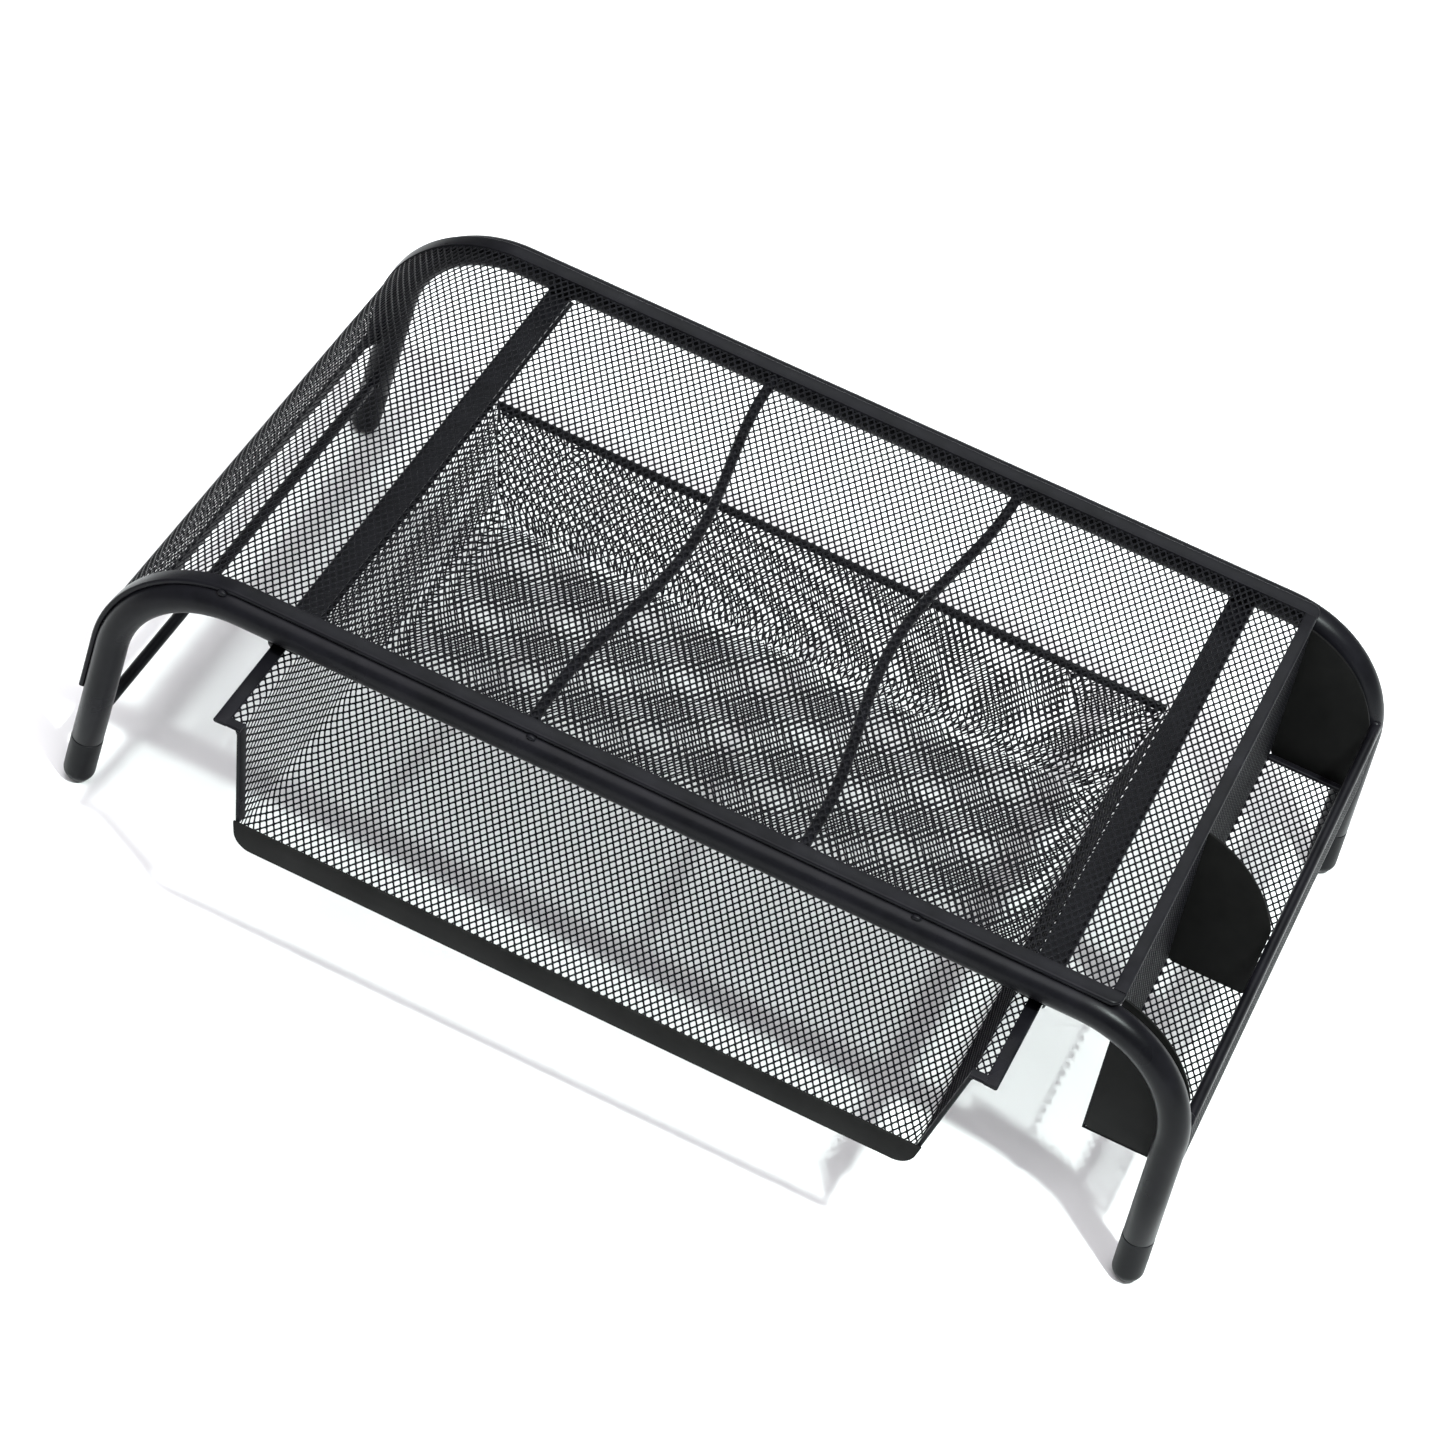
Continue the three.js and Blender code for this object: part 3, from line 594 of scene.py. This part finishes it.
def long_strip(name, y_out, y_in, drop):
    s = Shape()
    r = 5.0
    sgn = 1.0 if y_in > y_out else -1.0

    def section(u):
        # plan corner at the right-hand end
        k = min(max(u, 0.0), r)
        cut = r - math.sqrt(max(r * r - (r - k) ** 2, 0.0))
        sec = hem_section(y_out + sgn * cut, y_in)
        near = np.clip(1 - np.abs(sec[:, 0] - y_out) / 4.5, 0, 1)
        sec[:, 1] += np.where(sec[:, 1] > 0, drop * near, 0)  # the inner leaf is welded down to the tube
        if u < 0.35:
            centre = sec.mean(0)
            sec = centre + (sec - centre) * np.array([1.0, 0.8 if u < 0.1 else 0.94])
        return sec

    u = np.concatenate([[0.0, 0.15, 0.4, 0.8, 1.3, 2.0, 2.9, 3.9, 5.0], np.arange(20, 395, 25.0), TOP.stations(399.0, TOP.length - 0.3)[1:]])
    along_path(s, TOP, u, lambda q: section(q))
    return s.build(name + "_fold", "stand", STEEL, [name])


long_strip("top_edge_strip_front", TOP_Y0, TOP_Y0 + HEM_W, 0.45)
long_strip("top_edge_strip_rear", TOP_Y1, TOP_Y1 - HEM_W, 1.35)


def hem_along_y(s, path, s_out, s_in, y0, y1):
    sec = hem_section(s_out, s_in)
    xz = path.at(sec[:, 0], sec[:, 1])
    along_y(s, xz, y0, y1, 0.2, np.linspace(y0, y1, 12)[1:-1])
    return s


for name, s_out, s_in in (("top_edge_strip_right", 0.0, RIGHT_HEM_W), ("side_edge_strip_left", TOP.length, TOP.length - HEM_W)):
    s = Shape()
    hem_along_y(s, TOP, s_out, s_in, TOP_Y0 + HEM_W + 0.15, TOP_Y1 - HEM_W - 0.15)
    s.build(name + "_fold", "stand", STEEL, [name])


# ---------------------------------------------------------------- rods
def rib(name, side):
    s = Shape()
    z = SHEET_Z - 0.3 - 0.3 - 2.5
    pts = []
    for y in np.linspace(6.2, 275.8, 49):
        u = min(1.0, abs(y - 145.0) / 120.0)
        pts.append((side * (61.5 - 12.5 * math.cos(math.pi / 2 * u) ** 2), Y_FRONT + y, z))
    rod(s, pts, 2.5, 24)
    for i, y in enumerate((7.4, 274.6)):
        s.lump((side * 61.5, Y_FRONT + y, z - 0.8), (3.3, 1.7, 2.6), 60 + i + (3 if side > 0 else 0), 0.08)
    s.build(name + "_bar", "stand", STEEL, [name])


rib("rib_rod_left", -1)
rib("rib_rod_right", 1)

s = Shape()
sx = -leg_at(35.0)
rod(s, [(sx, Y_FRONT + y, 35.0) for y in np.linspace(6.0, 276.0, 13)], 2.75, 24)
for i, y in enumerate((7.2, 274.8)):
    s.lump((sx, Y_FRONT + y, 35.0), (3.7, 1.6, 3.7), 70 + i, 0.07)
s.build("side_stretcher_rod_bar", "stand", STEEL, ["side_stretcher_rod"])

s = Shape()
rod(s, [(RIM_X, Y_FRONT + y, RIM_Z) for y in np.linspace(3.2, 278.8, 13)], RIM_R, 24)
for i, y in enumerate((5.4, 276.6)):
    s.lump((RIM_X - 0.6, Y_FRONT + y, RIM_Z), (3.0, 1.7, 3.0), 80 + i, 0.07)
s.build("caddy_rim_rod_bar", "stand", STEEL, ["caddy_rim_rod"])


# ---------------------------------------------------------------- drawer rails
def rail(name, side):
    s = Shape()
    line = fillet([(165.0, 120.8), (176.5, 120.8), (176.5, 127.2), (165.0, 127.2)], [1.4, 1.4], 6)
    poly = band(line * np.array([side, 1.0]), 1.0)
    if signed_area(poly) > 0:
        poly = poly[::-1]
    y0, y1, r = Y_FRONT - 1.0, Y_REAR + 4.0, 5.0
    ys = [y0 + r * (1 - math.cos(math.pi / 2 * i / 8)) for i in range(9)]
    rings = []
    lower = poly[:, 1] < 124.0
    for y in ys + [y0 + r + 0.05, y0 + 30.0, (y0 + y1) / 2, y1]:
        rise = r - math.sqrt(max(r * r - max(r - (y - y0), 0.0) ** 2, 0.0))
        x, z = np.abs(poly[:, 0]), poly[:, 1]
        z = np.where(lower, np.minimum(z + rise, 126.4), z)
        if y <= y0 + r:  # the lower leg starts behind the web's rounded corner, clear of the drawer's flange
            x = np.where(lower & (x < 176.0), 176.0 - (176.0 - x) * 0.002, x)
        rings.append(np.stack([side * x, np.full(len(poly), y), z], 1))
    s.loft(rings)
    for i, y in enumerate((Y_FRONT + 1.5, Y_REAR - 0.5)):
        s.lump((side * 170.5, y, 128.0), (3.4, 3.0, 1.2), 90 + i, 0.08)
    s.build(name + "_channel", "stand", STEEL, [name])


rail("drawer_rail_left", -1)
rail("drawer_rail_right", 1)

# ---------------------------------------------------------------- drawer
wall_x = lambda z: WALL_TOP_X - (FLANGE_Z - z) * math.tan(LEAN)
half_b = [(wall_x(FLOOR_Z), FLOOR_Z), (WALL_TOP_X, FLANGE_Z), (FLANGE_OUT - 1.0, FLANGE_Z)]
BASKET = Path(
    fillet([(-x, z) for x, z in half_b[::-1]] + half_b, [1.6, CORNER_R, CORNER_R, 1.6], 10)
)
slope = lambda z: FLANGE_BACK * np.clip((np.asarray(z, float) - LIP_TOP) / (FLANGE_Z - LIP_TOP), 0, 1)
PLEATS = ((-123.0, 4.2, 2.6, 30.0), (-116.5, -3.0, 2.2, 20.0), (120.0, 4.4, 2.6, 32.0), (126.5, -3.2, 2.2, 20.0), (-157.0, 3.0, 3.0, 40.0), (157.0, 3.0, 3.0, 40.0))


def basket_map(u, v, h):
    """Travel is towards +X along the floor, so the normal on its left points up, into the basket."""
    p = BASKET.at(u, h)
    x, z = p[:, 0], p[:, 1]
    # the front edges of the walls slope back up to the flanges
    t = np.clip((v - DRAWER_Y0) / 60.0, 0, 1)
    y = v + slope(z) * (1 - t)
    # the floor stops short of the rear wall, which turns up out of it with a radius
    y = y - 9.0 * np.clip((151.0 - np.abs(x)) / 9.0, 0, 1) * np.clip((v - (DRAWER_Y1 - 130.0)) / 126.4, 0, 1) * (z < FLOOR_Z + 1.5)
    # the floor sags a hair between its bends, and the walls are not dead flat
    flat = np.clip(1 - (x / 150.0) ** 2, 0, 1) * np.clip((v - DRAWER_Y0) / 40.0, 0, 1) * np.clip((DRAWER_Y1 - v) / 40.0, 0, 1)
    z = z - 0.7 * flat * (z < FLOOR_Z + 2)
    wall = np.clip((z - FLOOR_Z - 8) / 12, 0, 1) * np.clip((FLANGE_Z - 2 - z) / 12, 0, 1)
    x = x + np.sign(x) * wall * 0.5 * np.sin((v - DRAWER_Y0) / 258.0 * math.pi) ** 2
    return np.stack([x, y, z], 1)


mesh_sheet("drawer_basket", basket_map, 0.6, BASKET.length - 0.6, DRAWER_Y0 - 0.1, DRAWER_Y1 - 3.6, 3, "drawer", SHEET, flip=False, replaces=["drawer_basket_mesh"], open_edge="v1")

for label, side in (("left", -1), ("right", 1)):
    # flange strip, with the short fold across the flange's front end
    s = Shape()
    line = Path([(side * FLANGE_OUT, FLANGE_Z), (side * (FLANGE_OUT - FLANGE_HEM_W), FLANGE_Z)])
    hem_along_y(s, line, 0.0, FLANGE_HEM_W, DRAWER_Y0 + FLANGE_BACK, DRAWER_Y1)
    sec = hem_section(DRAWER_Y0 + FLANGE_BACK, DRAWER_Y0 + FLANGE_BACK + 4.6)
    a, b = FLANGE_OUT - FLANGE_HEM_W + 0.6, WALL_TOP_X - 0.9
    across = Path([(side * a, FLANGE_Z - 0.02), (side * b, FLANGE_Z - 0.02)])
    along_path(s, across, np.linspace(0, across.length, 5), lambda q: sec)
    s.build(f"drawer_flange_strip_{label}_fold", "drawer", STEEL, [f"drawer_flange_strip_{label}"])
    # strip down the wall's sloping front edge, from the flange to the lip
    s = Shape()
    z_hi_, z_lo_ = FLANGE_Z - 0.9, LIP_TOP - 1.2
    line = Path([(side * wall_x(z_hi_), z_hi_), (side * wall_x(z_lo_), z_lo_)])
    base_sec = hem_section(DRAWER_Y0, DRAWER_Y0 + 6.5, 1.8)

    def leaning(q):
        z = z_hi_ + (z_lo_ - z_hi_) * q / line.length
        return base_sec + np.array([float(slope(z)), 0.0])

    along_path(s, line, np.linspace(0, line.length, 10), leaning)
    s.build(f"drawer_wall_strip_{label}_fold", "drawer", STEEL, [f"drawer_wall_strip_{label}"])


def u_outline(z_top, grow):
    """The basket's cross section as a closed outline, grown outwards by grow."""
    pts = fillet([(wall_x(FLOOR_Z), FLOOR_Z), (WALL_TOP_X, FLANGE_Z)][::-1] + [(0.0, FLOOR_Z)], [CORNER_R], 12)
    p = Path(pts)
    off = p.p + p.normal * (-grow if True else grow)
    # keep the side that grows away from the inside
    if (off[0][0] > p.p[0][0]) != (grow > 0):
        off = p.p - p.normal * (-grow)
    off = off[:-1]
    top = off[0]
    d = off[1] - off[0]
    off[0] = top + d * ((z_top - top[1]) / d[1])
    right = off
    left = right[::-1] * np.array([-1.0, 1.0])
    return np.concatenate([right, left])


s = Shape()
lip = u_outline(LIP_TOP, HEM_T / 2)
along_y(s, lip, DRAWER_Y0 - 1.4, DRAWER_Y0 + 0.1, 0.3)
s.build("drawer_front_lip_band", "drawer", FLAT, ["drawer_front_lip"])

TURN_R = 9.0
# rear wall: the mesh is cut to the basket's section by narrowing each row
z_lo, z_hi = FLOOR_Z - 0.2, FLANGE_Z - 0.9
rear_y = DRAWER_Y1 - 4.0


def rear_map(u, v, h):
    lim = np.interp(v, [z_lo, z_lo + 0.35, z_lo + 1.2, z_lo + 3.0, z_lo + 5.5, z_lo + 8.0, z_hi], [142.0, 145.0, 147.4, 150.2, 152.3, 153.6, 162.9])
    x = u * lim / 162.9
    low = np.clip((FLOOR_Z - 0.2 + TURN_R - v) / TURN_R, 0, 1)
    y = np.full_like(x, rear_y) - TURN_R * (1 - np.sqrt(np.maximum(1 - low * low, 0))) * np.clip((151.0 - np.abs(x)) / 9.0, 0, 1)
    for px, depth, wide, tall in PLEATS:  # creases pressed in under the rim near the corners
        fade = np.clip(1 - (z_hi - v) / tall, 0, 1) ** 0.7
        y = y - depth * np.exp(-(((x - px - 0.16 * (z_hi - v) * np.sign(px)) / wide) ** 2)) * fade
    return np.stack([x, y + h, v], 1)


mesh_sheet("drawer_rear_wall", rear_map, -162.9, 162.9, z_lo, z_hi, 1, "drawer", SHEET, flip=True, replaces=["drawer_rear_mesh"], open_edge="v0")

s = Shape()
w = wall_x(FLANGE_Z - 1.8) - 0.4
sec = rounded(rear_y - 1.1, rear_y + 1.1, FLANGE_Z - 1.9, FLANGE_Z + 1.8, 0.3, 0.3, 1.05, 1.05)
rings = []
for x, k in ((-w, 0.35), (-w + 0.2, 0.1), (-w + 0.5, 0.0), (0.0, 0.0), (w - 0.5, 0.0), (w - 0.2, 0.1), (w, 0.35)):
    q = inset(sec, k)
    rings.append(np.stack([np.full(len(q), x), q[:, 0], q[:, 1]], 1))
s.loft(rings)
s.build("drawer_rear_rim_fold", "drawer", STEEL, ["drawer_rear_rim"])

# ---------------------------------------------------------------- side caddy
wall_top = TUBE_Z + 8.4 - HEM_T / 2 - 0.3
mesh_sheet(
    "caddy_inner_wall",
    lambda u, v, h: np.stack([inner_x(v) + h, u, v], 1),
    CADDY_Y0, CADDY_Y1, CADDY_Z + 0.6, wall_top, 1, "stand", SHEET, replaces=["caddy_inner_wall_mesh"],
)
outer_x = lambda z: RIM_X + 1.4 + (RIM_Z - z) * math.tan(SPLAY)
mesh_sheet(
    "caddy_outer_wall",
    lambda u, v, h: np.stack([outer_x(v) + h, u, v], 1),
    Y_FRONT + 5.4, Y_REAR - 5.4, CADDY_Z + 0.6, RIM_Z - RIM_R - 0.3, 1, "stand", SHEET, replaces=["caddy_outer_wall_mesh"],
)
mesh_sheet(
    "caddy_floor",
    lambda u, v, h: np.stack([u, v, CADDY_Z + h], 1),
    inner_x(CADDY_Z) - 0.3, outer_x(CADDY_Z) + 0.3, CADDY_Y0, CADDY_Y1, 1, "stand", SHEET, replaces=["caddy_floor_mesh"],
)


def plate(name, y):
    ang = lambda x: math.asin((x - BEND_CX) / PLATE_R)
    z0 = CADDY_Z + 0.6
    x_low, x_high = inner_x(z0) + 0.1, inner_x(137.0) + 0.1
    a0, a1 = ang(x_high), ang(PLATE_X1)
    pts = []
    r = 3.0
    for i in range(7):
        a = math.pi / 2 * i / 6
        pts.append((x_low + r - r * math.cos(a), z0 + r - r * math.sin(a)))
    pts.append((PLATE_X1 - 0.8, z0))
    pts.append((PLATE_X1, z0 + 0.8))
    for i in range(25):
        a = a1 + (a0 - a1) * i / 24
        pts.append((BEND_CX + PLATE_R * math.sin(a), BEND_CZ + PLATE_R * math.cos(a)))
    s = Shape()
    along_y(s, np.array(pts), y, y + PLATE_T, 0.28)
    s.build(name + "_blade", "stand", FLAT, [name])


plate("caddy_plate_front", CADDY_Y0)
plate("caddy_plate_middle", Y_FRONT + 121.2)
plate("caddy_plate_rear", CADDY_Y1 - PLATE_T)

for end, y0 in (("front", CADDY_Y0 + PLATE_T + 0.3), ("rear", CADDY_Y1 - PLATE_T - 0.3 - 3.6)):
    s = Shape()
    sec = rounded(y0, y0 + 3.6, CADDY_Z + 0.6, CADDY_Z + 2.4, 0.3, 0.3, 0.8, 0.8)
    rings = []
    xa, xb = inner_x(CADDY_Z) + 0.3, PLATE_X1 - 0.2
    for x, k in ((xa, 0.25), (xa + 0.3, 0.0), ((xa + xb) / 2, 0.0), (xb - 0.3, 0.0), (xb, 0.25)):
        q = inset(sec, k)
        rings.append(np.stack([np.full(len(q), x), q[:, 0], q[:, 1]], 1))
    s.loft(rings)
    s.build(f"caddy_floor_strip_{end}_bar", "stand", STEEL, [f"caddy_floor_strip_{end}"])


# ---------------------------------------------------------------- floor, light and camera
def floor():
    n = 96
    a = 2 * math.pi * np.arange(n) / n
    co = np.stack([7 * np.cos(a), 7 * np.sin(a), np.zeros(n)], 1)
    me = bpy.data.meshes.new("floor")
    me.from_pydata([tuple(p) for p in co], [], [list(range(n))])
    m, nt, bsdf = material("pale_floor")
    noise = nt.nodes.new("ShaderNodeTexNoise")
    noise.inputs["Scale"].default_value = 3.0
    ramp = nt.nodes.new("ShaderNodeMapRange")
    ramp.inputs["To Min"].default_value = 0.60
    ramp.inputs["To Max"].default_value = 0.66
    nt.links.new(noise.outputs["Fac"], ramp.inputs["Value"])
    nt.links.new(ramp.outputs["Result"], bsdf.inputs["Roughness"])
    bsdf.inputs["Base Color"].default_value = (0.86, 0.86, 0.86, 1)
    bsdf.inputs["Specular IOR Level"].default_value = 0.2
    me.materials.append(m)
    ob = bpy.data.objects.new("floor", me)
    ob.location = (0, 0, -0.0003)
    bpy.context.scene.collection.objects.link(ob)


floor()


def area(name, at, to, size, size_y, power, colour, shape="RECTANGLE"):
    light = bpy.data.lights.new(name, "AREA")
    light.shape = shape
    light.size = size
    if shape == "RECTANGLE":
        light.size_y = size_y
    light.energy = power
    light.color = colour
    ob = bpy.data.objects.new(name, light)
    ob.location = at
    ob.rotation_euler = (Vector(to) - Vector(at)).to_track_quat("-Z", "Y").to_euler()
    bpy.context.scene.collection.objects.link(ob)
    return ob


area("key_lamp", (0.88, -0.70, 2.0), (0, 0, 0.05), 0.12, 0.12, 76.0, (0.89, 1.0, 0.965), "DISK")
area("soft_box", (0.1, -0.35, 2.5), (0, 0, 0.05), 2.8, 2.8, 96.0, (1.0, 0.98, 1.02))
area("back_panel", (-0.3, 3.0, 2.9), (0, 0, 0.1), 2.4, 1.4, 26.0, (0.95, 1.0, 1.0))
world = bpy.data.worlds.new("studio")
world.use_nodes = True
world.node_tree.nodes["Background"].inputs["Color"].default_value = (0.97, 0.98, 1.0, 1)
world.node_tree.nodes["Background"].inputs["Strength"].default_value = 0.34
bpy.context.scene.world = world
bpy.context.scene.view_settings.view_transform = "Standard"
bpy.context.scene.view_settings.look = "None"

cam = bpy.data.cameras.new("camera")
cam.lens = 36.0 * 4451.19 / 1445.0
cam.sensor_width = 36.0
cam.clip_end = 60.0
eye = bpy.data.objects.new("camera", cam)
az, el, roll = (math.radians(v) for v in (11.138, 43.16, 17.228))
back = Vector((math.sin(az) * math.cos(el), -math.cos(az) * math.cos(el), math.sin(el)))
right = Vector((math.cos(az), math.sin(az), 0))
up = back.cross(right)
r2 = math.cos(roll) * right + math.sin(roll) * up
u2 = -math.sin(roll) * right + math.cos(roll) * up
m = Matrix((r2, u2, back)).transposed().to_4x4()
m.translation = (0.26519, -1.38145, 1.40185)
eye.matrix_world = m
bpy.context.scene.collection.objects.link(eye)
bpy.context.scene.camera = eye
